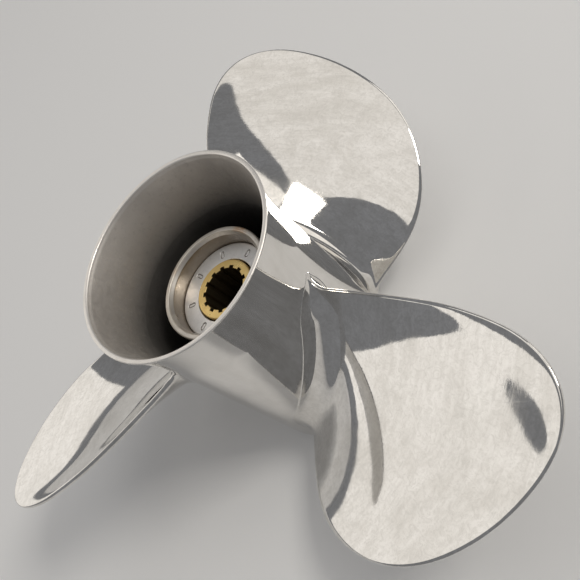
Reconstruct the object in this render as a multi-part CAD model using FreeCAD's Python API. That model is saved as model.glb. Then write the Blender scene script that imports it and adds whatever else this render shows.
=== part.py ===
import FreeCAD, Part
import os, math
from FreeCAD import Vector

# ---------------------------------------------------------------------------
# Three-blade stainless outboard propeller, through-hub exhaust, right-hand.
# Row frame: Z is the shaft axis. The forward face of the hub (gearcase side)
# is Z = 0, the aft rim of the diffuser ring is Z = LENGTH.
# Depths are measured forward from the aft rim: z = LENGTH - depth.
# Blade angles run clockwise seen from aft, from +Y.  All sizes in millimetres.
# ---------------------------------------------------------------------------
R = 46.5                 # aft rim outer radius, the unit of the blade form
LENGTH = 128.0           # overall hub length
BLADES = 3

# barrel and diffuser ring
BARREL_R = 41.2          # outer radius a third of the way along
BARREL_R_FWD = 40.9      # outer radius at the forward face
FLARE_DEPTH = 28.8       # where the flared diffuser ring meets the barrel
RIM_LIP = 2.15           # thickness of the rim's lip
BARREL_BORE_R = 37.8     # inner radius of the exhaust passage
MOUTH_R = 38.8           # forward mouth, over the gearcase outlet
MOUTH_LEN = 10.0

# inner hub
HUB_LIP_R = 26.4         # outer radius of the aft lip
HUB_R = 25.6             # outer radius of the tube
HUB_LIP_IN_R = 24.1      # lip inner edge
HUB_BORE_R = 23.0        # machined bore that holds the damper
HUB_AFT_DEPTH = 28.3     # depth of the aft lip
HUB_BEVEL_DEPTH = 30.1   # where the bevel meets the bore
HUB_FWD_Z = 11.5         # forward face
SHOULDER_Z = 30.0        # shoulder that stops the damper
THRUST_BORE_R = 18.0     # forward bore, round the thrust hub
THRUST_SEAT_Z = 21.5     # step at the end of that bore
NECK_R = 16.0            # narrower bore between the step and the shoulder

# webs between inner hub and barrel
WEB_T = 5.0
WEB_Z0, WEB_Z1 = 14.0, 64.0
WEB_ANGLE = 30.0         # clockwise from each blade's reference line

# drive sleeve (13 internal splines)
SLEEVE_R = 14.0
SLEEVE_AFT_DEPTH = 35.9
SLEEVE_FWD_Z = 22.5
SPLINES = 13
SPLINE_MINOR_R = 9.95
SPLINE_MAJOR_R = 11.15
SPLINE_GROOVE_DEG = 12.2
SLEEVE_PILOT_R = 11.9    # plain counterbore at the forward end
SLEEVE_PILOT_LEN = 9.0

# aft end ring
RING_FACE_DEPTH = 37.1
RING_T = 5.2
RING_BORE_R = 14.75
RING_EDGE_R = 1.0
POCKETS = 8
POCKET_R = 18.4
POCKET_LEN, POCKET_W, POCKET_DEEP = 4.0, 2.1, 0.45
POCKET_ANGLE = 24.7

# rubber damper
DAMPER_CLEAR = 0.05      # running clearance to the hub bore
DAMPER_END_GAP = 0.25

# blade form
TIP_R = 3.190635         # tip radius / R
STATION_W = [0, .04, .08, .12, .17, .22, .28, .34, .40, .46, .52, .58, .64, .70, .76, .82, .87]
TE_DEG = [-7.2, -8.89, -10.49, -11.98, -13.68, -15.22, -16.94, -18.5, -19.89, -21.09, -22.25, -23.37, -24.26, -25.15, -26.3, -27.75, -29.5]
LE_DEG = [-7.2, -5.36, -3.38, -1.18, 2.05, 5.78, 10.77, 16.22, 21.65, 26.76, 31.57, 36.13, 40.25, 43.3, 45.2, 47.1, 49.9]
DEPTH0 = 1.4284          # depth of the reference line at radius R, / R
RAKE1, RAKE2 = -0.0939, -0.0051
PITCH0, PITCH1 = 1.1138, 0.0069   # pitch / (2 pi R) at 2R and its slope
CAMBER = -0.0104
CUP = 1.1                # trailing edge cup
CUP_W = 9.0
T_RADII = [38.0, 44.0, 60.0, 80.0, 105.0, 130.0, 148.5]
T_MAX = [8.6, 8.0, 6.6, 5.2, 4.0, 3.1, 2.4]
T_TE, T_LE = 2.3, 1.3    # edge thicknesses
FILLET_FACE = 11.0
FILLET_BACK = 8.0
FILLET_END = 6.5
FILLET_TURN = 0.13       # share of the chord over which the fillet turns the corner


def spline_fn(xs, ys):
    """Natural cubic spline through (xs, ys), returned as a function."""
    n = len(xs)
    h = [xs[i + 1] - xs[i] for i in range(n - 1)]
    a = [0.0] * n
    for i in range(1, n - 1):
        a[i] = 3.0 * ((ys[i + 1] - ys[i]) / h[i] - (ys[i] - ys[i - 1]) / h[i - 1])
    l, mu, z = [1.0] * n, [0.0] * n, [0.0] * n
    for i in range(1, n - 1):
        l[i] = 2.0 * (xs[i + 1] - xs[i - 1]) - h[i - 1] * mu[i - 1]
        mu[i] = h[i] / l[i]
        z[i] = (a[i] - h[i - 1] * z[i - 1]) / l[i]
    c, b, d = [0.0] * n, [0.0] * n, [0.0] * n
    for j in range(n - 2, -1, -1):
        c[j] = z[j] - mu[j] * c[j + 1]
        b[j] = (ys[j + 1] - ys[j]) / h[j] - h[j] * (c[j + 1] + 2.0 * c[j]) / 3.0
        d[j] = (c[j + 1] - c[j]) / (3.0 * h[j])

    def f(x):
        j = 0
        while j < n - 2 and x > xs[j + 1]:
            j += 1
        t = x - xs[j]
        return ys[j] + b[j] * t + c[j] * t * t + d[j] * t * t * t
    return f


te_of_w = spline_fn(STATION_W, TE_DEG)
le_of_w = spline_fn(STATION_W, LE_DEG)
t_of_r = spline_fn(T_RADII, T_MAX)


def barrel_r(depth):
    """Outer radius of barrel and diffuser ring at a depth from the aft rim."""
    k = max(0.0, 1.0 - depth / FLARE_DEPTH)
    base = BARREL_R + (BARREL_R_FWD - BARREL_R) * depth / LENGTH + 0.35 * max(0.0, 1.0 - depth / 60.0)
    return base + (R - BARREL_R - 0.35) * k ** 1.7


def fillet_offset(r, rad):
    """How far a root fillet stands out of the blade at radius r."""
    r0 = BARREL_R - 0.4
    x = min(max(r - r0, 0.0), rad)
    return rad - math.sqrt(max(0.0, rad * rad - (rad - x) ** 2))


def blade_point(r, s, side, k):
    """Point of blade k at radius r, chord fraction s (0 trailing, 1 leading).
    side 0 is the pressure face (aft), side 1 the back (forward)."""
    w = math.sqrt(max(0.0, 1.0 - r / (TIP_R * R)))
    te, le = math.radians(te_of_w(w)), math.radians(le_of_w(w))
    rr = r / R
    psi = te + (le - te) * s

    def depth(q):
        a = (q - te) * r
        return R * (DEPTH0 + RAKE1 * (rr - 1.0) + RAKE2 * (rr - 1.0) ** 2
                    + (PITCH0 + PITCH1 * (rr - 2.0)) * q + CAMBER * (rr * q) ** 2) \
            + CUP * (1.0 - math.exp(-(a / CUP_W) ** 2)) * (1.0 - (q - te) / max(1e-6, le - te))
    d = depth(psi)
    e = 1e-3
    slope = (depth(psi + e) - depth(psi - e)) / (2 * e * r)
    nrm = math.hypot(1.0, slope)
    nx, nz = -slope / nrm, 1.0 / nrm        # forward normal in the unrolled plane
    tx, tz = 1.0 / nrm, slope / nrm         # chord direction
    edge = T_TE + (T_LE - T_TE) * s
    tip = min(1.0, (TIP_R * R - r) / 12.0)
    t = edge + (t_of_r(r) - edge) * (4.0 * s * (1.0 - s)) ** 0.8 * (0.35 + 0.65 * tip)
    # root fillet: the section grows all round, with rounded ends
    end = max(0.0, 1.0 - min(s, 1.0 - s) / FILLET_TURN)
    turn = math.radians(90.0) * end
    full = fillet_offset(r, FILLET_FACE if side == 0 else FILLET_BACK)
    grow = full + (fillet_offset(r, FILLET_END) - full) * end
    off = -grow * math.cos(turn) if side == 0 else t + grow * math.cos(turn)
    ext = grow * math.sin(turn) * (1.0 if s > 0.5 else -1.0)
    x = r * psi + nx * off + tx * ext
    d = d + nz * off + tz * ext
    phi = x / r + math.radians(360.0 / BLADES * k)
    return Vector(r * math.sin(phi), r * math.cos(phi), LENGTH - d)


def solid_from_faces(faces):
    sh = Part.makeShell(faces)
    sh.sewShape()
    so = Part.makeSolid(sh)
    if so.Volume < 0:
        so.reverse()
    return so


def interp_surface(rows):
    s = Part.BSplineSurface()
    s.interpolate(rows)
    return s


def blade_solid(k):
    r_end = TIP_R * R
    radii = [36.5, 39.0, 40.4, 41.4, 42.4, 43.8, 45.6, 47.8, 50.4, 53.6, 58.0]
    n = 15
    for i in range(1, n + 1):
        f = i / n
        radii.append(58.0 + (r_end - 0.12 - 58.0) * (1.0 - (1.0 - f) ** 2.1))
    ss = [0.5 - 0.5 * math.cos(math.pi * j / 22.0) for j in range(23)]
    face = [[blade_point(r, s, 0, k) for s in ss] for r in radii]
    back = [[blade_point(r, s, 1, k) for s in ss] for r in radii]
    f1, f2 = interp_surface(face), interp_surface(back)
    faces = [f1.toShape(), f2.toShape()]
    u0, u1, v0, v1 = f1.bounds()
    p0, p1, q0, q1 = f2.bounds()
    pairs = [(f1.uIso(u0), f2.uIso(p0)), (f1.uIso(u1), f2.uIso(p1)),
             (f1.vIso(v0), f2.vIso(q0)), (f1.vIso(v1), f2.vIso(q1))]
    for a, b in pairs:
        faces.append(Part.makeRuledSurface(a.toShape(), b.toShape()))
    return solid_from_faces(faces)


def revolve(pts):
    """Solid of revolution about Z from (radius, z) points."""
    w = Part.makePolygon([Vector(a, 0, b) for a, b in pts] + [Vector(pts[0][0], 0, pts[0][1])])
    return Part.Face(w).revolve(Vector(0, 0, 0), Vector(0, 0, 1), 360)


def cyl(r, z0, z1):
    return Part.makeCylinder(r, z1 - z0, Vector(0, 0, z0))


def annulus(r1, r0, z0, z1):
    return cyl(r1, z0, z1).cut(cyl(r0, z0 - 1, z1 + 1))


os.makedirs("parts", exist_ok=True)
made = []


def out(shape, node):
    sols = shape.Solids
    shape = sols[0] if len(sols) == 1 else Part.makeCompound(sols)
    shape.exportStep("parts/%s.step" % node)
    made.append((node, shape))
    b = shape.BoundBox
    print("%-16s solids %d valid %s vol %.1f  box %.1f %.1f %.1f .. %.1f %.1f %.1f" % (
        node, len(sols), shape.isValid(), shape.Volume, b.XMin, b.YMin, b.ZMin, b.XMax, b.YMax, b.ZMax))


def z_of(depth):
    return LENGTH - depth


# --- diffuser ring: flared outside, smooth tapered inside, lip at the rim
def flare_outer(depths):
    return [(barrel_r(d), z_of(d)) for d in depths]


depths = [0.7] + [1.8 + (FLARE_DEPTH - 1.8) * i / 12.0 for i in range(13)]
outer = [(R - RIM_LIP, z_of(0.0)), (R - 0.45, z_of(0.0)), (R - 0.02, z_of(0.35))] + flare_outer(depths)
inner = [(BARREL_BORE_R + (R - RIM_LIP - BARREL_BORE_R) * max(0.0, 1.0 - d / FLARE_DEPTH) ** 1.25, z_of(d))
         for d in [FLARE_DEPTH - FLARE_DEPTH * i / 12.0 for i in range(12)]]
diffuser = revolve(outer + inner)
out(diffuser, "diffuser_ring")

# --- barrel
bd = [FLARE_DEPTH + (LENGTH - FLARE_DEPTH - 0.6) * i / 8.0 for i in range(9)]
outer = [(barrel_r(d), z_of(d)) for d in bd] + [(barrel_r(LENGTH) - 0.6, 0.0)]
barrel = revolve(outer + [(MOUTH_R, 0.0), (MOUTH_R, MOUTH_LEN), (BARREL_BORE_R, MOUTH_LEN + 1.0),
                          (BARREL_BORE_R, z_of(FLARE_DEPTH))])
out(barrel, "barrel")

# --- inner hub: cast tube with aft lip, bevel, damper bore and shoulder
zl = z_of(HUB_AFT_DEPTH)
hub = revolve([(HUB_LIP_IN_R, zl), (HUB_LIP_R - 0.9, zl), (HUB_LIP_R - 0.25, zl - 0.3), (HUB_LIP_R, zl - 1.0),
               (HUB_LIP_R, zl - 4.0), (HUB_R, zl - 7.0), (HUB_R, HUB_FWD_Z), (THRUST_BORE_R, HUB_FWD_Z),
               (THRUST_BORE_R, THRUST_SEAT_Z), (NECK_R, THRUST_SEAT_Z), (NECK_R, SHOULDER_Z), (HUB_BORE_R, SHOULDER_Z), (HUB_BORE_R, z_of(HUB_BEVEL_DEPTH)),
               (HUB_LIP_IN_R - 0.15, z_of(HUB_BEVEL_DEPTH) + 1.35)])
out(hub, "inner_hub")

# --- three webs carry the inner hub in the barrel and divide the exhaust
band = annulus(BARREL_BORE_R, HUB_R, WEB_Z0, WEB_Z1)
for i in range(3):
    box = Part.makeBox(WEB_T, 30.0, WEB_Z1 - WEB_Z0, Vector(-WEB_T / 2.0, 20.0, WEB_Z0))
    box.rotate(Vector(0, 0, 0), Vector(0, 0, 1), -(WEB_ANGLE + 120.0 * i))
    out(box.common(band), "hub_web_%d" % (i + 1))

# --- blades, trimmed to the outside of barrel and diffuser ring
core_d = [-6.0] + [0.0] + [1.8 + (FLARE_DEPTH - 1.8) * i / 12.0 for i in range(13)]
core = revolve([(0.0, z_of(-6.0))] + [(R, z_of(-6.0)), (R, z_of(0.0))]
               + [(barrel_r(d), z_of(d)) for d in core_d[2:]]
               + [(barrel_r(d), z_of(d)) for d in bd[1:]] + [(barrel_r(LENGTH), -6.0), (0.0, -6.0)])
for k in range(BLADES):
    b = blade_solid(k).cut(core)
    b = max(b.Solids, key=lambda q: q.Volume)
    out(b, "blade_%d" % (k + 1))

# --- drive sleeve: brass, 13 internal splines, plain pilot at the forward end
za = z_of(SLEEVE_AFT_DEPTH)
sleeve = cyl(SLEEVE_R, SLEEVE_FWD_Z, za).cut(cyl(SPLINE_MINOR_R, SLEEVE_FWD_Z - 1, za + 1))
half = math.radians(SPLINE_GROOVE_DEG / 2.0)
for i in range(SPLINES):
    c = math.radians(8.0 + 360.0 / SPLINES * i)
    pts = []
    for q, rad in ((-half, SPLINE_MINOR_R - 1.2), (-half, SPLINE_MAJOR_R), (half, SPLINE_MAJOR_R), (half, SPLINE_MINOR_R - 1.2)):
        pts.append(Vector(rad * math.sin(c + q), rad * math.cos(c + q), SLEEVE_FWD_Z - 0.5))
    prism = Part.Face(Part.makePolygon(pts + [pts[0]])).extrude(Vector(0, 0, za - SLEEVE_FWD_Z + 1.0))
    sleeve = sleeve.cut(prism)
sleeve = sleeve.cut(cyl(SLEEVE_PILOT_R, SLEEVE_FWD_Z - 1, SLEEVE_FWD_Z + SLEEVE_PILOT_LEN))
out(sleeve, "drive_sleeve")

# --- rubber damper bonded round the sleeve, turning in the hub bore
out(annulus(HUB_BORE_R - DAMPER_CLEAR, SLEEVE_R, SHOULDER_Z + DAMPER_END_GAP,
            z_of(RING_FACE_DEPTH) - RING_T - DAMPER_END_GAP), "damper_rubber")

# --- aft end ring pressed into the hub bore, eight shallow pockets
zr = z_of(RING_FACE_DEPTH)
ring = revolve([(RING_BORE_R + 0.3, zr), (HUB_BORE_R - RING_EDGE_R, zr), (HUB_BORE_R - 0.3 * RING_EDGE_R, zr - 0.3 * RING_EDGE_R),
                (HUB_BORE_R, zr - RING_EDGE_R), (HUB_BORE_R, zr - RING_T), (RING_BORE_R, zr - RING_T),
                (RING_BORE_R, zr - 0.3)])
for i in range(POCKETS):
    l, w = POCKET_LEN / 2.0, POCKET_W / 2.0
    tool = Part.makeBox(POCKET_W, POCKET_LEN - POCKET_W, 2.0, Vector(-w, POCKET_R - l + w, zr - POCKET_DEEP))
    tool = tool.fuse(Part.makeCylinder(w, 2.0, Vector(0, POCKET_R - l + w, zr - POCKET_DEEP)))
    tool = tool.fuse(Part.makeCylinder(w, 2.0, Vector(0, POCKET_R + l - w, zr - POCKET_DEEP)))
    tool.rotate(Vector(0, 0, 0), Vector(0, 0, 1), -(POCKET_ANGLE + 45.0 * i))
    ring = ring.cut(tool)
out(ring, "end_ring")

tot = None
lo = [min(s.BoundBox.XMin for n, s in made), min(s.BoundBox.YMin for n, s in made), min(s.BoundBox.ZMin for n, s in made)]
hi = [max(s.BoundBox.XMax for n, s in made), max(s.BoundBox.YMax for n, s in made), max(s.BoundBox.ZMax for n, s in made)]
print("box", [round(v, 2) for v in lo], [round(v, 2) for v in hi], "diameter %.1f" % (2 * TIP_R * R))
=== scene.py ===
import bpy, math
import numpy as np
from mathutils import Matrix, Vector


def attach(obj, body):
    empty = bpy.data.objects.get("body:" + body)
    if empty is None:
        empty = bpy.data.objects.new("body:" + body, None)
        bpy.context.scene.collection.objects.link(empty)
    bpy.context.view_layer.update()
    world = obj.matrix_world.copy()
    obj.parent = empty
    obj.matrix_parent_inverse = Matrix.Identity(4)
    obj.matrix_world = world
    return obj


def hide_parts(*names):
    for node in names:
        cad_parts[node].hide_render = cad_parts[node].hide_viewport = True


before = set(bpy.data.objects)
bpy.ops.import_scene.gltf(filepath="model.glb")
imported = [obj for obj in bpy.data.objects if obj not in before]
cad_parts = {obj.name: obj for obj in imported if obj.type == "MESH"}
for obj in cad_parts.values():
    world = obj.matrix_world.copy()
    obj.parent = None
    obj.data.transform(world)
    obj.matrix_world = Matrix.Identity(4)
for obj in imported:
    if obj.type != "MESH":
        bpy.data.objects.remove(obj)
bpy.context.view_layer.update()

MM = 0.001

# ---------------------------------------------------------------- design numbers
R = 46.5
LENGTH = 128.0
BARREL_R, BARREL_R_FWD, FLARE_DEPTH = 41.2, 40.9, 28.8
RIM_LIP, BARREL_BORE_R, MOUTH_R, MOUTH_LEN = 2.15, 37.8, 38.8, 10.0
HUB_LIP_R, HUB_R, HUB_LIP_IN_R, HUB_BORE_R = 26.4, 25.6, 24.1, 23.0
HUB_AFT_DEPTH, HUB_BEVEL_DEPTH, HUB_FWD_Z, SHOULDER_Z, THRUST_BORE_R = 28.3, 30.1, 11.5, 30.0, 18.0
THRUST_SEAT_Z, NECK_R = 21.5, 16.0
WEB_T, WEB_Z0, WEB_Z1, WEB_ANGLE = 5.0, 14.0, 64.0, 30.0
SLEEVE_R, SLEEVE_AFT_DEPTH, SLEEVE_FWD_Z, SPLINES = 14.0, 35.9, 22.5, 13
SPLINE_MINOR_R, SPLINE_MAJOR_R, SPLINE_GROOVE_DEG = 9.95, 11.15, 12.2
SLEEVE_PILOT_R, SLEEVE_PILOT_LEN = 11.9, 9.0
RING_FACE_DEPTH, RING_T, RING_BORE_R = 37.1, 5.2, 14.75
POCKETS, POCKET_R, POCKET_LEN, POCKET_W, POCKET_ANGLE = 8, 18.4, 4.0, 2.1, 24.7
TIP_R = 3.190635
STATION_W = [0, .04, .08, .12, .17, .22, .28, .34, .40, .46, .52, .58, .64, .70, .76, .82, .87]
TE_DEG = [-7.2, -8.89, -10.49, -11.98, -13.68, -15.22, -16.94, -18.5, -19.89, -21.09, -22.25, -23.37, -24.26, -25.15, -26.3, -27.75, -29.5]
LE_DEG = [-7.2, -5.36, -3.38, -1.18, 2.05, 5.78, 10.77, 16.22, 21.65, 26.76, 31.57, 36.13, 40.25, 43.3, 45.2, 47.1, 49.9]
DEPTH0, RAKE1, RAKE2, PITCH0, PITCH1, CAMBER = 1.4284, -0.0939, -0.0051, 1.1138, 0.0069, -0.0104
CUP, CUP_W = 1.1, 9.0
T_RADII = [38.0, 44.0, 60.0, 80.0, 105.0, 130.0, 148.5]
T_MAX = [8.6, 8.0, 6.6, 5.2, 4.0, 3.1, 2.4]
T_TE, T_LE = 2.3, 1.3
FILLET_FACE, FILLET_BACK, FILLET_END = 11.0, 8.0, 6.5
FILLET_TURN = 0.13


def spline_fn(xs, ys):
    """Natural cubic spline through (xs, ys) for numpy arrays."""
    xs, ys = np.asarray(xs, float), np.asarray(ys, float)
    n = len(xs)
    h = np.diff(xs)
    A = np.zeros((n, n)); b = np.zeros(n)
    A[0, 0] = A[-1, -1] = 1.0
    for i in range(1, n - 1):
        A[i, i - 1], A[i, i], A[i, i + 1] = h[i - 1], 2 * (h[i - 1] + h[i]), h[i]
        b[i] = 3 * ((ys[i + 1] - ys[i]) / h[i] - (ys[i] - ys[i - 1]) / h[i - 1])
    c = np.linalg.solve(A, b)

    def f(x):
        x = np.asarray(x, float)
        j = np.clip(np.searchsorted(xs, x) - 1, 0, n - 2)
        t = x - xs[j]
        bb = (ys[j + 1] - ys[j]) / h[j] - h[j] * (c[j + 1] + 2 * c[j]) / 3
        dd = (c[j + 1] - c[j]) / (3 * h[j])
        return ys[j] + bb * t + c[j] * t * t + dd * t ** 3
    return f


te_of_w, le_of_w, t_of_r = spline_fn(STATION_W, TE_DEG), spline_fn(STATION_W, LE_DEG), spline_fn(T_RADII, T_MAX)


def barrel_r(depth):
    depth = np.asarray(depth, float)
    k = np.maximum(0.0, 1.0 - depth / FLARE_DEPTH)
    base = BARREL_R + (BARREL_R_FWD - BARREL_R) * depth / LENGTH + 0.35 * np.maximum(0.0, 1.0 - depth / 60.0)
    return base + (R - BARREL_R - 0.35) * k ** 1.7


# ---------------------------------------------------------------- mesh helpers
def link(me, name):
    ob = bpy.data.objects.new(name, me)
    bpy.context.scene.collection.objects.link(ob)
    return ob


def mesh_from(name, verts, faces, mats, face_mat=None, smooth=True):
    me = bpy.data.meshes.new(name)
    me.from_pydata((np.asarray(verts) * MM).tolist(), [], faces)
    for m in mats:
        me.materials.append(m)
    if face_mat is not None:
        me.polygons.foreach_set("material_index", np.asarray(face_mat, np.int32))
    me.polygons.foreach_set("use_smooth", np.full(len(me.polygons), smooth))
    me.validate(); me.update()
    return link(me, name)


def fix_normals(ob):
    import bmesh
    bm = bmesh.new(); bm.from_mesh(ob.data)
    bmesh.ops.remove_doubles(bm, verts=bm.verts, dist=2e-6)
    bmesh.ops.recalc_face_normals(bm, faces=bm.faces)
    bm.to_mesh(ob.data); bm.free(); ob.data.update()


def mark_sharp(ob, deg):
    import bmesh
    bm = bmesh.new(); bm.from_mesh(ob.data)
    for e in bm.edges:
        if len(e.link_faces) == 2 and e.calc_face_angle(0) > math.radians(deg):
            e.smooth = False
    bm.to_mesh(ob.data); bm.free(); ob.data.update()


def revolve(name, prof, mats, seg=256, sharp=()):
    """Closed revolved piece from (radius, z, material) points; the material is that of
    the band that starts at the point. sharp is not used."""
    prof = list(prof)
    n = len(prof)
    a = np.linspace(0, 2 * math.pi, seg, endpoint=False)
    verts, faces, fm = [], [], []
    for r, z, _ in prof:
        verts += np.stack([r * np.sin(a), r * np.cos(a), np.full(seg, z)], 1).tolist()
    for i in range(n):
        j = (i + 1) % n
        for k in range(seg):
            l = (k + 1) % seg
            faces.append((i * seg + k, i * seg + l, j * seg + l, j * seg + k)); fm.append(prof[i][2])
    ob = mesh_from(name, verts, faces, mats, fm)
    fix_normals(ob)
    mark_sharp(ob, 38)
    return ob


def arc(cx, cz, rad, a0, a1, n, m):
    """Points of an arc in the (radius, z) plane, angles in degrees."""
    t = np.radians(np.linspace(a0, a1, n))
    return [(cx + rad * math.cos(q), cz + rad * math.sin(q), m) for q in t]


def z_of(d):
    return LENGTH - d


# ---------------------------------------------------------------- materials
def nodes_of(name):
    m = bpy.data.materials.new(name); m.use_nodes = True
    nt = m.node_tree
    bs = nt.nodes["Principled BSDF"]
    return m, nt, bs


def obj_coord(nt, scale=(1, 1, 1), rot=(0, 0, 0)):
    tc = nt.nodes.new("ShaderNodeTexCoord")
    mp = nt.nodes.new("ShaderNodeMapping")
    mp.inputs["Scale"].default_value = scale
    mp.inputs["Rotation"].default_value = rot
    nt.links.new(tc.outputs["Object"], mp.inputs["Vector"])
    return mp.outputs["Vector"]


def noise(nt, vec, scale, detail=2.0, rough=0.5, dist=0.0):
    n = nt.nodes.new("ShaderNodeTexNoise")
    n.inputs["Scale"].default_value = scale
    n.inputs["Detail"].default_value = detail
    n.inputs["Roughness"].default_value = rough
    n.inputs["Distortion"].default_value = dist
    nt.links.new(vec, n.inputs["Vector"])
    return n.outputs["Fac"]


def ramp(nt, fac, stops):
    r = nt.nodes.new("ShaderNodeValToRGB")
    cr = r.color_ramp
    while len(cr.elements) < len(stops):
        cr.elements.new(0.5)
    for e, (p, c) in zip(cr.elements, stops):
        e.position = p
        e.color = (c, c, c, 1) if not isinstance(c, (tuple, list)) else (*c, 1)
    nt.links.new(fac, r.inputs["Fac"])
    return r.outputs["Color"]


def maprange(nt, v, a, b, c, d):
    m = nt.nodes.new("ShaderNodeMapRange")
    m.inputs["From Min"].default_value = a; m.inputs["From Max"].default_value = b
    m.inputs["To Min"].default_value = c; m.inputs["To Max"].default_value = d
    nt.links.new(v, m.inputs["Value"])
    return m.outputs["Result"]


def mix(nt, fac, a, b):
    m = nt.nodes.new("ShaderNodeMix"); m.data_type = "RGBA"
    if hasattr(fac, "default_value") or not isinstance(fac, float):
        nt.links.new(fac, m.inputs["Factor"])
    else:
        m.inputs["Factor"].default_value = fac
    for s, v in ((6, a), (7, b)):
        if isinstance(v, (tuple, list)):
            m.inputs[s].default_value = (*v, 1)
        else:
            nt.links.new(v, m.inputs[s])
    return m.outputs[2]


def math_node(nt, op, a, b=None):
    m = nt.nodes.new("ShaderNodeMath"); m.operation = op
    for i, v in enumerate((a, b)):
        if v is None:
            continue
        if isinstance(v, (int, float)):
            m.inputs[i].default_value = v
        else:
            nt.links.new(v, m.inputs[i])
    return m.outputs[0]


def bump(nt, h, strength, dist):
    b = nt.nodes.new("ShaderNodeBump")
    b.inputs["Strength"].default_value = strength
    b.inputs["Distance"].default_value = dist
    nt.links.new(h, b.inputs["Height"])
    return b.outputs["Normal"]


def polar(nt, kr, ka, kz=0.0):
    """Vector (radius * kr, angle * ka, z * kz) about the shaft axis."""
    tc = nt.nodes.new("ShaderNodeTexCoord")
    sep = nt.nodes.new("ShaderNodeSeparateXYZ")
    nt.links.new(tc.outputs["Object"], sep.inputs[0])
    x, y, z = sep.outputs
    rad = math_node(nt, "SQRT", math_node(nt, "ADD", math_node(nt, "MULTIPLY", x, x), math_node(nt, "MULTIPLY", y, y)))
    ang = math_node(nt, "ARCTAN2", x, y)
    c = nt.nodes.new("ShaderNodeCombineXYZ")
    nt.links.new(math_node(nt, "MULTIPLY", rad, kr), c.inputs[0])
    nt.links.new(math_node(nt, "MULTIPLY", ang, ka), c.inputs[1])
    nt.links.new(math_node(nt, "MULTIPLY", z, kz), c.inputs[2])
    return c.outputs[0]


def polished(name, base=(0.87, 0.85, 0.82), dark=(0.75, 0.73, 0.695), r0=0.022, r1=0.075, b=0.35, wave=1.0, arcs=0.7, mottle=(1.0, 0.0)):
    """Mirror-polished stainless: buffing arcs, cloudy haze, fine random scratches and a slight waviness."""
    m, nt, bs = nodes_of(name)
    v = obj_coord(nt)
    cloud = noise(nt, v, 26.0, 5.0, 0.62, 0.8)
    haze = noise(nt, polar(nt, 70.0, 3.0, 20.0), 1.0, 6.0, 0.68, 1.2)
    fine = noise(nt, v, 520.0, 4.0, 0.7, 0.6)
    arc_n = noise(nt, polar(nt, 620.0, 7.0, 200.0), 1.0, 4.0, 0.65, 0.25)
    s1 = noise(nt, obj_coord(nt, (1900, 70, 70), (0.3, 0.2, 0.5)), 1.0, 1.0, 0.5, 0.2)
    s2 = noise(nt, obj_coord(nt, (70, 1700, 90), (0.1, 0.5, 0.2)), 1.0, 1.0, 0.5, 0.2)
    scr = math_node(nt, "ADD", ramp(nt, s1, [(0.68, 0.0), (0.78, 0.6)]), ramp(nt, s2, [(0.69, 0.0), (0.79, 0.6)]))
    patch = ramp(nt, math_node(nt, "ADD", math_node(nt, "MULTIPLY", cloud, 0.45), math_node(nt, "MULTIPLY", haze, 0.55)), [(0.40, 0.0), (0.64, 1.0)])
    rgh = math_node(nt, "ADD", maprange(nt, patch, 0, 1, r0, r1), math_node(nt, "MULTIPLY", scr, 0.05))
    nt.links.new(rgh, bs.inputs["Roughness"])
    streak = ramp(nt, arc_n, [(0.44, 0.0), (0.70, 0.55 * arcs)])
    col = mix(nt, patch, base, dark)
    mott = noise(nt, obj_coord(nt), 360.0 * mottle[0], 5.0, 0.72, 1.4)
    col = mix(nt, ramp(nt, mott, [(0.44, 0.0), (0.64, mottle[1])]), col, tuple(0.80 * c for c in dark))
    col = mix(nt, streak, col, tuple(0.86 * c for c in dark))
    nt.links.new(col, bs.inputs["Base Color"])
    bs.inputs["Metallic"].default_value = 1.0
    h = math_node(nt, "ADD", math_node(nt, "MULTIPLY", scr, 0.16), math_node(nt, "MULTIPLY", fine, 0.5))
    h = math_node(nt, "ADD", h, math_node(nt, "MULTIPLY", arc_n, 0.9 * arcs))
    n1 = bump(nt, h, b, 0.00001)
    big = noise(nt, obj_coord(nt), 42.0, 2.0, 0.45)
    w = nt.nodes.new("ShaderNodeBump")
    w.inputs["Strength"].default_value = 1.0
    w.inputs["Distance"].default_value = 0.00006 * wave
    nt.links.new(big, w.inputs["Height"]); nt.links.new(n1, w.inputs["Normal"])
    nt.links.new(w.outputs["Normal"], bs.inputs["Normal"])
    return m


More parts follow.
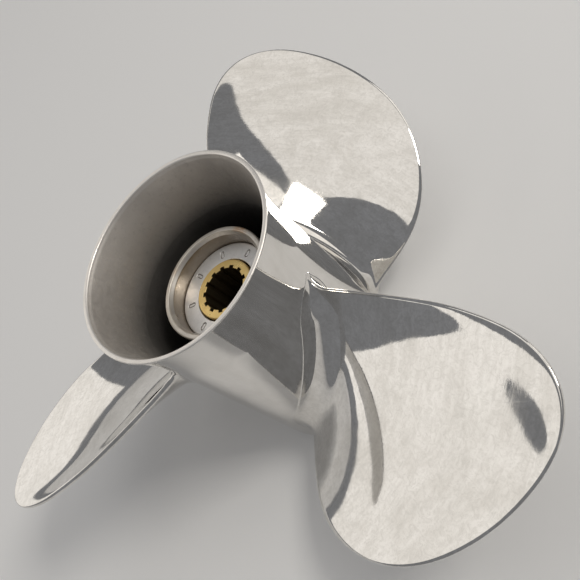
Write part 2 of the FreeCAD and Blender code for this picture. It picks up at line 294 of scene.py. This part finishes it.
def cast(name, base=(0.40, 0.365, 0.335), dark=(0.31, 0.28, 0.255), rough=(0.40, 0.56), grain=2600.0, b=0.35, stain=False, metal=0.8, painted_shade_deep=False):
    """Bead-blasted investment casting; its depth option paints shade that darkens it deep in the exhaust passage."""
    m, nt, bs = nodes_of(name)
    v = obj_coord(nt)
    big = noise(nt, v, 45.0, 3.0, 0.6)
    gr = noise(nt, v, grain, 2.0, 0.7)
    mott = noise(nt, v, 420.0, 3.0, 0.65)
    col = mix(nt, ramp(nt, big, [(0.38, 0.0), (0.68, 1.0)]), base, dark)
    col = mix(nt, ramp(nt, mott, [(0.55, 0.0), (0.75, 0.35)]), col, tuple(0.7 * c for c in dark))
    if stain:
        for px, py, rad, amt in ((0.0085, 0.0236, 0.0052, 1.0), (-0.0235, 0.0070, 0.0030, 0.35), (0.0010, -0.0250, 0.0035, 0.35)):
            tc = nt.nodes.new("ShaderNodeTexCoord")
            dn = nt.nodes.new("ShaderNodeVectorMath"); dn.operation = "DISTANCE"
            nt.links.new(tc.outputs["Object"], dn.inputs[0]); dn.inputs[1].default_value = (px, py, 0.0995)
            near = maprange(nt, dn.outputs["Value"], 0.0, rad, 1.0, 0.0)
            st = noise(nt, v, 420.0, 4.0, 0.7, 0.5)
            col = mix(nt, math_node(nt, "MULTIPLY", math_node(nt, "MULTIPLY", near, ramp(nt, st, [(0.35, 0.25), (0.6, 1.0)])), amt), col, (0.56, 0.30, 0.11))
    # painted shade: the colour goes to near-black deeper in the exhaust passage, where shade falls
    if painted_shade_deep:
        tc = nt.nodes.new("ShaderNodeTexCoord")
        sep = nt.nodes.new("ShaderNodeSeparateXYZ")
        nt.links.new(tc.outputs["Object"], sep.inputs[0])
        deep = math_node(nt, "ADD", sep.outputs[2], math_node(nt, "MULTIPLY", big, 0.012))
        col = mix(nt, ramp(nt, maprange(nt, deep, 0.070, 0.134, 0.0, 1.0), [(0.0, 1.0), (0.45, 0.80), (0.8, 0.25), (1.0, 0.0)]), col, (0.045, 0.042, 0.040))
    nt.links.new(col, bs.inputs["Base Color"])
    bs.inputs["Metallic"].default_value = metal
    nt.links.new(maprange(nt, mott, 0.3, 0.7, rough[0], rough[1]), bs.inputs["Roughness"])
    h = math_node(nt, "ADD", math_node(nt, "MULTIPLY", gr, 0.5), math_node(nt, "MULTIPLY", mott, 0.6))
    nt.links.new(bump(nt, h, b, 0.00012), bs.inputs["Normal"])
    return m


def turned(name, base, rough=(0.18, 0.30), freq=3800.0, b=0.15, spot=(0.5, 0.45, 0.4), metal=1.0):
    """Machined surface: fine rings about Z, and light tarnish."""
    m, nt, bs = nodes_of(name)
    tc = nt.nodes.new("ShaderNodeTexCoord")
    sep = nt.nodes.new("ShaderNodeSeparateXYZ")
    nt.links.new(tc.outputs["Object"], sep.inputs[0])
    rad = math_node(nt, "SQRT", math_node(nt, "ADD", math_node(nt, "MULTIPLY", sep.outputs[0], sep.outputs[0]),
                                          math_node(nt, "MULTIPLY", sep.outputs[1], sep.outputs[1])))
    comb = nt.nodes.new("ShaderNodeCombineXYZ")
    nt.links.new(rad, comb.inputs[0]); nt.links.new(sep.outputs[2], comb.inputs[1])
    rings = noise(nt, comb.outputs[0], freq, 2.0, 0.7)
    v = obj_coord(nt)
    tarn = noise(nt, v, 120.0, 4.0, 0.65, 0.4)
    col = mix(nt, ramp(nt, tarn, [(0.45, 0.0), (0.75, 0.6)]), base, spot)
    nt.links.new(col, bs.inputs["Base Color"])
    bs.inputs["Metallic"].default_value = metal
    nt.links.new(maprange(nt, tarn, 0.3, 0.7, rough[0], rough[1]), bs.inputs["Roughness"])
    nt.links.new(bump(nt, rings, b, 0.00006), bs.inputs["Normal"])
    return m


def rubber(name):
    m, nt, bs = nodes_of(name)
    v = obj_coord(nt)
    a = noise(nt, v, 300.0, 4.0, 0.6)
    nt.links.new(mix(nt, a, (0.018, 0.018, 0.019), (0.05, 0.048, 0.046)), bs.inputs["Base Color"])
    nt.links.new(maprange(nt, a, 0.3, 0.7, 0.55, 0.8), bs.inputs["Roughness"])
    nt.links.new(bump(nt, noise(nt, v, 1800.0, 2.0), 0.3, 0.0002), bs.inputs["Normal"])
    return m


MAT_POL = polished("polished_stainless_mat", dark=(0.69, 0.668, 0.63), b=0.5, wave=1.7, mottle=(1.0, 0.42))
MAT_BARREL = polished("polished_barrel_mat", r0=0.03, r1=0.075, b=0.2, wave=0.6, arcs=0.25)
MAT_RIM = turned("rim_lip_mat", (0.86, 0.825, 0.78), rough=(0.32, 0.46), b=0.25, spot=(0.74, 0.70, 0.65), metal=0.8)
# the cast material here carries painted shade that darkens it deep in the exhaust passage
MAT_CAST = cast("cast_stainless_mat", base=(0.80, 0.76, 0.71), dark=(0.64, 0.605, 0.565), b=0.5, painted_shade_deep=True)
MAT_HUBLIP = cast("hub_lip_mat", base=(0.74, 0.70, 0.64), dark=(0.62, 0.58, 0.52), rough=(0.30, 0.44), b=0.3, stain=True)
MAT_BORE = turned("turned_bore_mat", (0.33, 0.285, 0.235), rough=(0.24, 0.40), b=0.35, spot=(0.24, 0.205, 0.165))
MAT_BEVEL = turned("turned_bevel_mat", (0.56, 0.535, 0.50), rough=(0.28, 0.40), b=0.25, spot=(0.44, 0.40, 0.35), metal=0.85)
MAT_RING = turned("ring_aluminium_mat", (0.88, 0.875, 0.865), rough=(0.32, 0.52), b=0.3, spot=(0.56, 0.56, 0.57), metal=0.75)
# pocket floors of the end ring: a dark material as painted shade in the pockets
MAT_POCKET_SHADE = turned("ring_pocket_shade_mat", (0.30, 0.28, 0.26), rough=(0.5, 0.65), b=0.3, spot=(0.16, 0.14, 0.12), metal=0.5)
MAT_BRASS = turned("brass_mat", (0.96, 0.71, 0.29), rough=(0.24, 0.38), b=0.15, spot=(0.86, 0.60, 0.22), metal=0.85)
MAT_BRASS_IN = turned("brass_spline_mat", (0.30, 0.24, 0.15), rough=(0.35, 0.5), b=0.2, spot=(0.10, 0.08, 0.05))
MAT_RUBBER = rubber("damper_rubber_mat")


# ---------------------------------------------------------------- blades
def mid_depth(r, q, te, le):
    rr = r / R
    a = (q - te) * r
    return R * (DEPTH0 + RAKE1 * (rr - 1) + RAKE2 * (rr - 1) ** 2 + (PITCH0 + PITCH1 * (rr - 2)) * q + CAMBER * (rr * q) ** 2) \
        + CUP * (1 - np.exp(-(a / CUP_W) ** 2)) * (1 - (q - te) / np.maximum(1e-6, le - te))


def edges(r):
    w = np.sqrt(np.maximum(0.0, 1.0 - r / (TIP_R * R)))
    return np.radians(te_of_w(w)), np.radians(le_of_w(w))


def edge_curve():
    """Points along the blade's whole edge, for the distance that rounds it."""
    w = np.linspace(0, 0.87, 1200)
    r = TIP_R * R * (1 - w * w)
    te, le = edges(r)
    out = []
    for q in (te, le):
        d = mid_depth(r, q, te, le)
        out.append(np.stack([r * np.sin(q), r * np.cos(q), LENGTH - d], 1))
    return out


def near_dist(P, C):
    """Distance from each point to the polyline C."""
    A, B = C[:-1], C[1:]
    D = B - A
    L2 = (D * D).sum(1) + 1e-12
    out = np.empty(len(P))
    for i in range(0, len(P), 512):
        p = P[i:i + 512]
        t = np.clip(((p[:, None] - A) * D).sum(2) / L2, 0, 1)
        out[i:i + 512] = np.sqrt((((p[:, None] - A) - t[..., None] * D) ** 2).sum(2).min(1))
    return out


def blade_mesh(name, k, NS=72):
    s = 0.5 - 0.5 * np.cos(np.pi * np.arange(NS + 1) / NS)
    r0 = BARREL_R
    r_end = TIP_R * R - 0.004
    th = np.concatenate([[-0.30, -0.12], np.radians(np.linspace(0, 90, 19))])
    up = np.linspace(0, 1, 96)[1:]
    up = 1 - (1 - up) ** 2.15
    end = np.maximum(0.0, 1.0 - np.minimum(s, 1 - s) / FILLET_TURN)
    end = end * end * (3 - 2 * end)
    turn = np.radians(90.0) * end
    sgn = np.where(s > 0.5, 1.0, -1.0)
    Cte, Cle = edge_curve()
    rings = {0: [], 1: []}
    for side in (0, 1):
        full = FILLET_FACE if side == 0 else FILLET_BACK
        rad = full + (FILLET_END - full) * end
        for i in range(len(th) + len(up)):
            if i < len(th):
                if th[i] < 0:
                    rn, grow = r0 + th[i] * 4.0, rad
                else:
                    rn, grow = r0 + rad * (1 - math.cos(th[i])), rad * (1 - math.sin(th[i]))
            else:
                rn = r0 + rad + (r_end - r0 - rad) * up[i - len(th)]
                grow = 0.0 * rad
            rn = rn + 0.0 * s
            te, le = edges(rn)
            psi = te + (le - te) * s
            d = mid_depth(rn, psi, te, le)
            e = 1e-3
            slope = (mid_depth(rn, psi + e, te, le) - mid_depth(rn, psi - e, te, le)) / (2 * e * rn)
            nm = np.hypot(1, slope)
            nx, nz, tx, tz = -slope / nm, 1 / nm, 1 / nm, slope / nm
            edge = T_TE + (T_LE - T_TE) * s
            tip = np.minimum(1.0, (TIP_R * R - rn) / 12.0)
            t = edge + (t_of_r(rn) - edge) * (4 * s * (1 - s)) ** 0.8 * (0.35 + 0.65 * tip)
            P = np.stack([rn * np.sin(psi), rn * np.cos(psi), LENGTH - d], 1)
            dt, dl = near_dist(P, Cte), near_dist(P, Cle)
            dt[0] = 0.0; dl[-1] = 0.0
            lead = dl < dt
            dist = np.minimum(dt, dl)
            w = np.clip((rn - (r_end - 14.0)) / 14.0, 0, 1)
            nose_te, nose_le = 0.95, 2.2
            rn_len = np.where(lead, nose_le + (1.4 - nose_le) * w, nose_te + (1.4 - nose_te) * w)
            x = np.minimum(dist / rn_len, 1.0)
            pw = np.where(lead, 2.0 + 0.3 * w, 2.6 - 0.3 * w)
            nose = (1 - (1 - x) ** pw) ** (1 / pw)
            off = t * 0.5 * (1 - nose) - grow * np.cos(turn) if side == 0 else t * 0.5 * (1 + nose) + grow * np.cos(turn)
            ext = grow * np.sin(turn) * sgn
            xx = rn * psi + nx * off + tx * ext
            dd = d + nz * off + tz * ext
            # the foot follows the barrel's own radius
            ra = rn + (barrel_r(dd) - r0) * np.exp(-np.maximum(0, rn - r0) / 12.0)
            phi = xx / rn + math.radians(120.0 * k)
            rings[side].append(np.stack([ra * np.sin(phi), ra * np.cos(phi), LENGTH - dd], 1))
    rows = []
    for f, b in zip(rings[0], rings[1]):
        rows.append(np.concatenate([f, b[::-1][1:-1]], 0))
    M = len(rows[0])
    # where face and back share an end point the ring has one vertex for both
    verts = np.concatenate(rows, 0)
    faces = []
    for i in range(len(rows) - 1):
        for j in range(M):
            l = (j + 1) % M
            faces.append((i * M + j, i * M + l, (i + 1) * M + l, (i + 1) * M + j))
    for base in (0, (len(rows) - 1) * M):
        for j in range(NS):
            a, b_ = base + j, base + j + 1
            c_, d_ = base + (M - j - 1) % M + 0, base + (M - j) % M
            ids = [a, b_, c_, d_]
            uniq = []
            for q in ids:
                if q not in uniq:
                    uniq.append(q)
            if len(uniq) >= 3:
                faces.append(tuple(uniq))
    ob = mesh_from(name, verts, faces, [MAT_POL])
    fix_normals(ob)
    return ob


# ---------------------------------------------------------------- build
pieces = []
for k in range(3):
    ob = blade_mesh("blade_%d_polished" % (k + 1), k)
    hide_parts("blade_%d" % (k + 1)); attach(ob, "wheel")
    pieces.append(ob)

# diffuser ring: polished outside, rounded lip, blasted inside
dd = np.concatenate([np.linspace(0.75, 6, 14), np.linspace(6.5, FLARE_DEPTH, 36)])
prof = [(float(barrel_r(d)), z_of(d), 0) for d in dd[::-1]]
r_out = float(barrel_r(0.75))
prof += [(R - 0.03, z_of(0.5), 1), (R - 0.14, z_of(0.2), 1), (R - 0.38, z_of(0.03), 1), (R - 0.62, z_of(0.0), 1), (R - 1.35, z_of(0.0), 1),
         (R - 1.62, z_of(0.03), 1), (R - 1.9, z_of(0.16), 1), (R - 2.07, z_of(0.4), 1), (R - RIM_LIP - 0.03, z_of(0.75), 2), (R - RIM_LIP - 0.12, z_of(1.1), 2)]
di = np.linspace(1.6, FLARE_DEPTH, 30)
prof += [(BARREL_BORE_R + (R - RIM_LIP - BARREL_BORE_R) * (1 - d / FLARE_DEPTH) ** 1.25, z_of(d), 2) for d in di]
diff = revolve("diffuser_ring_skin", prof, [MAT_BARREL, MAT_RIM, MAT_CAST], 360)
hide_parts("diffuser_ring"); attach(diff, "wheel")

bd = np.linspace(FLARE_DEPTH, LENGTH - 1.2, 110)
prof = [(float(barrel_r(d)), z_of(d), 0) for d in bd]
rl = float(barrel_r(LENGTH))
prof += [(rl - 0.05, 0.55, 0), (rl - 0.2, 0.2, 0), (rl - 0.5, 0.02, 0), (rl - 0.6, 0.0, 0),
         (MOUTH_R + 0.3, 0.0, 1), (MOUTH_R + 0.05, 0.12, 1), (MOUTH_R, 0.35, 1), (MOUTH_R, MOUTH_LEN - 0.2, 1), (MOUTH_R - 0.2, MOUTH_LEN + 0.2, 1),
         (BARREL_BORE_R + 0.15, MOUTH_LEN + 0.8, 1), (BARREL_BORE_R, MOUTH_LEN + 1.3, 1)]
prof += [(BARREL_BORE_R, z, 1) for z in np.linspace(MOUTH_LEN + 3, z_of(FLARE_DEPTH), 24)]
bar = revolve("barrel_skin", prof, [MAT_BARREL, MAT_CAST], 360)
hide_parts("barrel"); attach(bar, "wheel")

# inner hub
zl = z_of(HUB_AFT_DEPTH)
cz = (HUB_LIP_R + HUB_LIP_IN_R) / 2
prof = [(HUB_R, z, 0) for z in np.linspace(HUB_FWD_Z + 0.6, zl - 8.5, 20)]
prof += [(HUB_R + 0.08, zl - 7.4, 0), (HUB_R + 0.35, zl - 5.8, 0), (HUB_LIP_R - 0.12, zl - 4.4, 0), (HUB_LIP_R, zl - 3.4, 0), (HUB_LIP_R, zl - 1.1, 1)]
prof += arc(HUB_LIP_R - 0.85, zl - 0.85, 0.85, 8, 90, 9, 1)
prof += arc(HUB_LIP_IN_R + 0.45, zl - 0.45, 0.45, 90, 175, 7, 1)
zb = z_of(HUB_BEVEL_DEPTH)
prof += [(HUB_LIP_IN_R - 0.12, zl - 0.62, 2), (HUB_BORE_R + 0.12, zb + 0.12, 2), (HUB_BORE_R + 0.02, zb - 0.05, 3), (HUB_BORE_R, zb - 0.3, 3)]
prof += [(HUB_BORE_R, z, 3) for z in np.linspace(zb - 2, SHOULDER_Z + 0.2, 16)]
prof += [(HUB_BORE_R - 0.2, SHOULDER_Z, 3), (NECK_R + 0.2, SHOULDER_Z, 3), (NECK_R, SHOULDER_Z - 0.2, 3), (NECK_R, THRUST_SEAT_Z + 0.2, 3), (NECK_R + 0.2, THRUST_SEAT_Z, 3),
         (THRUST_BORE_R - 0.2, THRUST_SEAT_Z, 3), (THRUST_BORE_R, THRUST_SEAT_Z - 0.2, 3)]
prof += [(THRUST_BORE_R, HUB_FWD_Z + 0.8, 3), (THRUST_BORE_R + 0.7, HUB_FWD_Z + 0.05, 3), (THRUST_BORE_R + 0.9, HUB_FWD_Z, 0), (HUB_R - 0.6, HUB_FWD_Z, 0), (HUB_R - 0.15, HUB_FWD_Z + 0.15, 0)]
hub = revolve("inner_hub_cast", prof, [MAT_CAST, MAT_HUBLIP, MAT_BEVEL, MAT_BORE], 256)
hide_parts("inner_hub"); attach(hub, "wheel")


def web_mesh(name, ang):
    """Web with filleted roots: lofted rows from the inner hub to the barrel bore."""
    rows = []
    rads = [25.3, 25.62, 25.9, 26.4, 27.2, 28.2, 29.6, 31.7, 33.8, 35.2, 36.2, 37.0, 37.5, 37.78, 38.0]
    n = 9
    for r in rads:
        fl = 2.6
        g = max(fl - math.sqrt(max(0, fl * fl - max(0.0, fl - (r - 25.6)) ** 2)) if r < 25.6 + fl else 0.0,
                fl - math.sqrt(max(0, fl * fl - max(0.0, fl - (37.8 - r)) ** 2)) if r > 37.8 - fl else 0.0)
        h = WEB_T / 2 + g
        z0, z1 = WEB_Z0, WEB_Z1
        pts = []
        for q in np.linspace(0, 180, n):
            pts.append((h * math.cos(math.radians(q)), z1 - WEB_T / 2 + WEB_T / 2 * math.sin(math.radians(q)) + 0.0))
        for q in np.linspace(180, 360, n):
            pts.append((h * math.cos(math.radians(q)), z0 + WEB_T / 2 + WEB_T / 2 * math.sin(math.radians(q))))
        ring = []
        for x, z in pts:
            y = math.sqrt(max(0, r * r - x * x))
            ring.append((x, y, z))
        rows.append(ring)
    a = -math.radians(ang)
    c, s_ = math.cos(a), math.sin(a)
    verts = [(x * c - y * s_, x * s_ + y * c, z) for ring in rows for x, y, z in ring]
    m = len(rows[0]); faces = []
    for i in range(len(rows) - 1):
        for j in range(m):
            l = (j + 1) % m
            faces.append((i * m + j, i * m + l, (i + 1) * m + l, (i + 1) * m + j))
    faces.append(tuple(range(m))); faces.append(tuple(range((len(rows) - 1) * m, len(rows) * m)))
    ob = mesh_from(name, verts, faces, [MAT_CAST]); fix_normals(ob)
    return ob


for i in range(3):
    ob = web_mesh("hub_web_%d_cast" % (i + 1), WEB_ANGLE + 120 * i)
    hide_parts("hub_web_%d" % (i + 1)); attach(ob, "wheel")


# end ring with pockets
def end_ring():
    seg = 1280
    zr = z_of(RING_FACE_DEPTH)
    a = np.linspace(0, 2 * math.pi, seg, endpoint=False)
    rr = np.concatenate([[RING_BORE_R, RING_BORE_R + 0.02, RING_BORE_R + 0.1, RING_BORE_R + 0.3], np.linspace(RING_BORE_R + 0.55, HUB_BORE_R - 1.0, 84)])
    verts, faces = [], []

    def pocket(r, ang):
        step = 2 * math.pi / POCKETS
        q = (ang - math.radians(POCKET_ANGLE) + step / 2) % step - step / 2
        x = r * np.sin(q); y = r * np.cos(q) - POCKET_R
        half = (POCKET_LEN - POCKET_W) / 2
        dy = np.maximum(0, np.abs(y) - half)
        dist = np.hypot(x, dy) - POCKET_W / 2          # negative inside
        deep = np.clip(-dist / 0.16, 0, 1); deep = deep * deep * (3 - 2 * deep)
        isl = np.clip((-dist - 0.40) / 0.22, 0, 1); isl = isl * isl * (3 - 2 * isl)
        return -0.6 * deep + 0.42 * isl
    rows = [(RING_BORE_R, zr - RING_T + 0.2), (RING_BORE_R, zr - 2.5)]
    ring_z = {0: zr - 0.35, 1: zr - 0.2, 2: zr - 0.06, 3: zr}
    allrows = []
    for r_, z_ in rows:
        allrows.append(np.stack([r_ * np.sin(a), r_ * np.cos(a), np.full(seg, z_)], 1))
    for i, r_ in enumerate(rr):
        z_ = ring_z.get(i, zr) + (pocket(r_, a) if i > 3 else 0.0 * a)
        allrows.append(np.stack([r_ * np.sin(a), r_ * np.cos(a), z_], 1))
    for q in np.linspace(80, 0, 9):
        r_ = HUB_BORE_R - 1.0 + 0.97 * math.cos(math.radians(q)); z_ = zr - 1.0 + math.sin(math.radians(q))
        allrows.append(np.stack([r_ * np.sin(a), r_ * np.cos(a), np.full(seg, z_)], 1))
    for r_, z_ in ((HUB_BORE_R - 0.03, zr - 2.5), (HUB_BORE_R - 0.03, zr - RING_T + 0.2), (HUB_BORE_R - 0.3, zr - RING_T), (RING_BORE_R + 0.2, zr - RING_T)):
        allrows.append(np.stack([r_ * np.sin(a), r_ * np.cos(a), np.full(seg, z_)], 1))
    n = len(allrows)
    verts = np.concatenate(allrows, 0)
    fm = []
    for i in range(n):
        j = (i + 1) % n
        face_row = 6 <= i < 5 + len(rr) - 1
        # faces below the ring face, in the pockets, get material 1, which is painted shade
        low = (allrows[i][:, 2] + allrows[j][:, 2]) / 2 < zr - 0.24 if face_row else np.zeros(seg, bool)
        for k in range(seg):
            l = (k + 1) % seg
            faces.append((i * seg + k, i * seg + l, j * seg + l, j * seg + k)); fm.append(1 if low[k] else 0)
    ob = mesh_from("end_ring_satin", verts, faces, [MAT_RING, MAT_POCKET_SHADE], fm); fix_normals(ob)
    return ob


ring = end_ring()
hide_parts("end_ring"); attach(ring, "wheel")


def sleeve():
    za, zf = z_of(SLEEVE_AFT_DEPTH), SLEEVE_FWD_Z
    per = 24
    seg = SPLINES * per
    # one tooth pitch: angles and radii of the spline contour, with small corner radii
    half = math.radians(SPLINE_GROOVE_DEG / 2); pitch = 2 * math.pi / SPLINES
    ang, inner = [], []
    for i in range(SPLINES):
        c = math.radians(8.0) + pitch * i
        u = np.concatenate([np.linspace(-half * 0.86, half * 0.86, 8), [half * 0.94, half, half * 1.0 + 0.001, half * 1.07],
                            np.linspace(half * 1.16, pitch - half * 1.16, 8), [pitch - half * 1.07, pitch - half - 0.001, pitch - half, pitch - half * 0.94]])
        rad = np.concatenate([np.full(8, SPLINE_MAJOR_R), [SPLINE_MAJOR_R - 0.06, SPLINE_MAJOR_R - 0.22, SPLINE_MINOR_R + 0.2, SPLINE_MINOR_R + 0.05],
                              np.full(8, SPLINE_MINOR_R), [SPLINE_MINOR_R + 0.05, SPLINE_MINOR_R + 0.2, SPLINE_MAJOR_R - 0.22, SPLINE_MAJOR_R - 0.06]])
        ang += list(c + u); inner += list(rad)
    ang, inner = np.array(ang), np.array(inner)
    rows, fm = [], []

    def row(r, z, m):
        rows.append(np.stack([r * np.sin(ang), r * np.cos(ang), np.full(seg, z) if np.isscalar(z) else z], 1)); fm.append(m)
    o = np.full(seg, 1.0)
    row(SLEEVE_R * o, zf + 0.5, 0)
    for z in np.linspace(zf + 4, za - 1.2, 8):
        row(SLEEVE_R * o, z, 0)
    for q in np.linspace(0, 90, 7):
        row((SLEEVE_R - 0.55 + 0.55 * math.cos(math.radians(q))) * o, za - 0.55 + 0.55 * math.sin(math.radians(q)), 0)
    row((SLEEVE_R - 1.1) * o, za, 0)
    row(np.maximum(inner + 0.35, SPLINE_MINOR_R + 0.9), za, 0)
    row(inner + 0.16, za, 0)
    row(inner + 0.04, za - 0.08, 1)
    row(inner, za - 0.25, 1)
    for z in np.linspace(za - 2, zf + SLEEVE_PILOT_LEN + 0.3, 14):
        row(inner, z, 1)
    row(inner + 0.1, zf + SLEEVE_PILOT_LEN, 1)
    row((SLEEVE_PILOT_R - 0.1) * o, zf + SLEEVE_PILOT_LEN, 0)
    row(SLEEVE_PILOT_R * o, zf + SLEEVE_PILOT_LEN - 0.2, 0)
    row(SLEEVE_PILOT_R * o, zf + 0.5, 0)
    row((SLEEVE_PILOT_R + 0.4) * o, zf + 0.05, 0)
    row((SLEEVE_PILOT_R + 0.5) * o, zf, 0)
    row((SLEEVE_R - 0.5) * o, zf, 0)
    row((SLEEVE_R - 0.1) * o, zf + 0.15, 0)
    n = len(rows); verts = np.concatenate(rows, 0); faces, mi = [], []
    for i in range(n):
        j = (i + 1) % n
        for k in range(seg):
            l = (k + 1) % seg
            faces.append((i * seg + k, i * seg + l, j * seg + l, j * seg + k)); mi.append(fm[i])
    ob = mesh_from("drive_sleeve_brass", verts, faces, [MAT_BRASS, MAT_BRASS_IN], mi); fix_normals(ob)
    mark_sharp(ob, 32)
    return ob


slv = sleeve()
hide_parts("drive_sleeve"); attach(slv, "drive_core")

z0, z1 = SHOULDER_Z + 0.25, z_of(RING_FACE_DEPTH) - RING_T - 0.25
ro = HUB_BORE_R - 0.05
prof = [(SLEEVE_R, z, 0) for z in np.linspace(z1 - 0.2, z0 + 0.2, 10)]
prof += [(SLEEVE_R + 0.3, z0 + 0.55, 0), (SLEEVE_R + 2, z0 + 0.9, 0), ((SLEEVE_R + ro) / 2, z0 + 0.45, 0), (ro - 1.2, z0, 0), (ro - 0.3, z0 + 0.3, 0)]
prof += [(ro, z, 0) for z in np.linspace(z0 + 1.2, z1 - 1.2, 10)]
prof += [(ro - 0.3, z1 - 0.3, 0), (ro - 1.2, z1, 0), ((SLEEVE_R + ro) / 2, z1 - 0.45, 0), (SLEEVE_R + 2, z1 - 0.9, 0), (SLEEVE_R + 0.3, z1 - 0.55, 0)]
rub = revolve("damper_rubber_bush", prof, [MAT_RUBBER], 128)
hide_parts("damper_rubber"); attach(rub, "drive_core")

# ---------------------------------------------------------------- camera
F_PX = 705.8
CAM_C = np.array([-1.0248, -0.3250, 5.9430])
AX = np.array([0.5343, 0.4013, 0.7440]); AX /= np.linalg.norm(AX)
PHI0 = math.radians(-4.17)
upv = np.array([0, -1.0, 0]); e1 = upv - (upv @ AX) * AX; e1 /= np.linalg.norm(e1); e2 = np.cross(AX, e1)
Zr = -AX
Yr = math.cos(PHI0) * e1 + math.sin(PHI0) * e2
Xr = -math.sin(PHI0) * e1 + math.cos(PHI0) * e2
M = np.stack([Xr, Yr, Zr], 1)                # row axes as columns, in camera axes (x right, y down, z forward)
org = CAM_C + AX * (LENGTH / R)
pos = -(M.T @ org) * R * MM
bx, by, bz = M[0], -M[1], -M[2]
cam_data = bpy.data.cameras.new("camera")
cam = bpy.data.objects.new("camera", cam_data)
bpy.context.scene.collection.objects.link(cam)
cam.matrix_world = Matrix(((bx[0], by[0], bz[0], pos[0]), (bx[1], by[1], bz[1], pos[1]), (bx[2], by[2], bz[2], pos[2]), (0, 0, 0, 1)))
cam_data.sensor_width = 36.0
cam_data.lens = F_PX / 580.0 * 36.0
cam_data.clip_start = 0.01
bpy.context.scene.camera = cam
bpy.context.scene.view_settings.view_transform = "Standard"

# ---------------------------------------------------------------- floor and light
me = bpy.data.meshes.new("floor")
S = 6.0
me.from_pydata([(-S, -S, 0), (S, -S, 0), (S, S, 0), (-S, S, 0)], [], [(0, 1, 2, 3)])
floor = link(me, "floor")
fm, nt, bs = nodes_of("floor_mat")
bs.inputs["Base Color"].default_value = (0.80, 0.80, 0.80, 1)
bs.inputs["Roughness"].default_value = 0.8
me.materials.append(fm)
world = bpy.data.worlds.new("world"); bpy.context.scene.world = world
world.use_nodes = True
bg = world.node_tree.nodes["Background"]
bg.inputs["Color"].default_value = (0.93, 0.95, 1.0, 1)
bg.inputs["Strength"].default_value = 0.22


def softbox(name, az, el, dist, width, height, level):
    """A plain rectangular softbox facing the object. level is its brightness."""
    a, e = math.radians(az), math.radians(el)
    lamp = bpy.data.lights.new(name, "AREA"); lamp.shape = "RECTANGLE"
    lamp.size, lamp.size_y = width, height
    lamp.energy = level * math.pi * width * height
    lamp.color = (1.0, 0.955, 0.885)
    ob = bpy.data.objects.new(name, lamp); bpy.context.scene.collection.objects.link(ob)
    ob.location = (dist * math.cos(e) * math.cos(a), dist * math.cos(e) * math.sin(a), 0.06 + dist * math.sin(e))
    ob.rotation_euler = (Vector((0, 0, 0.06)) - Vector(ob.location)).to_track_quat("-Z", "Y").to_euler()
    ob.visible_camera = False


softbox("softbox_top", 60, 80, 1.7, 1.7, 1.7, 0.68)
softbox("softbox_back", 176, 25, 2.4, 3.0, 2.0, 0.74)
softbox("softbox_key", 21, 45, 2.2, 0.6, 0.6, 14.0)
softbox("softbox_side", 50, 28, 2.2, 1.0, 1.6, 0.95)
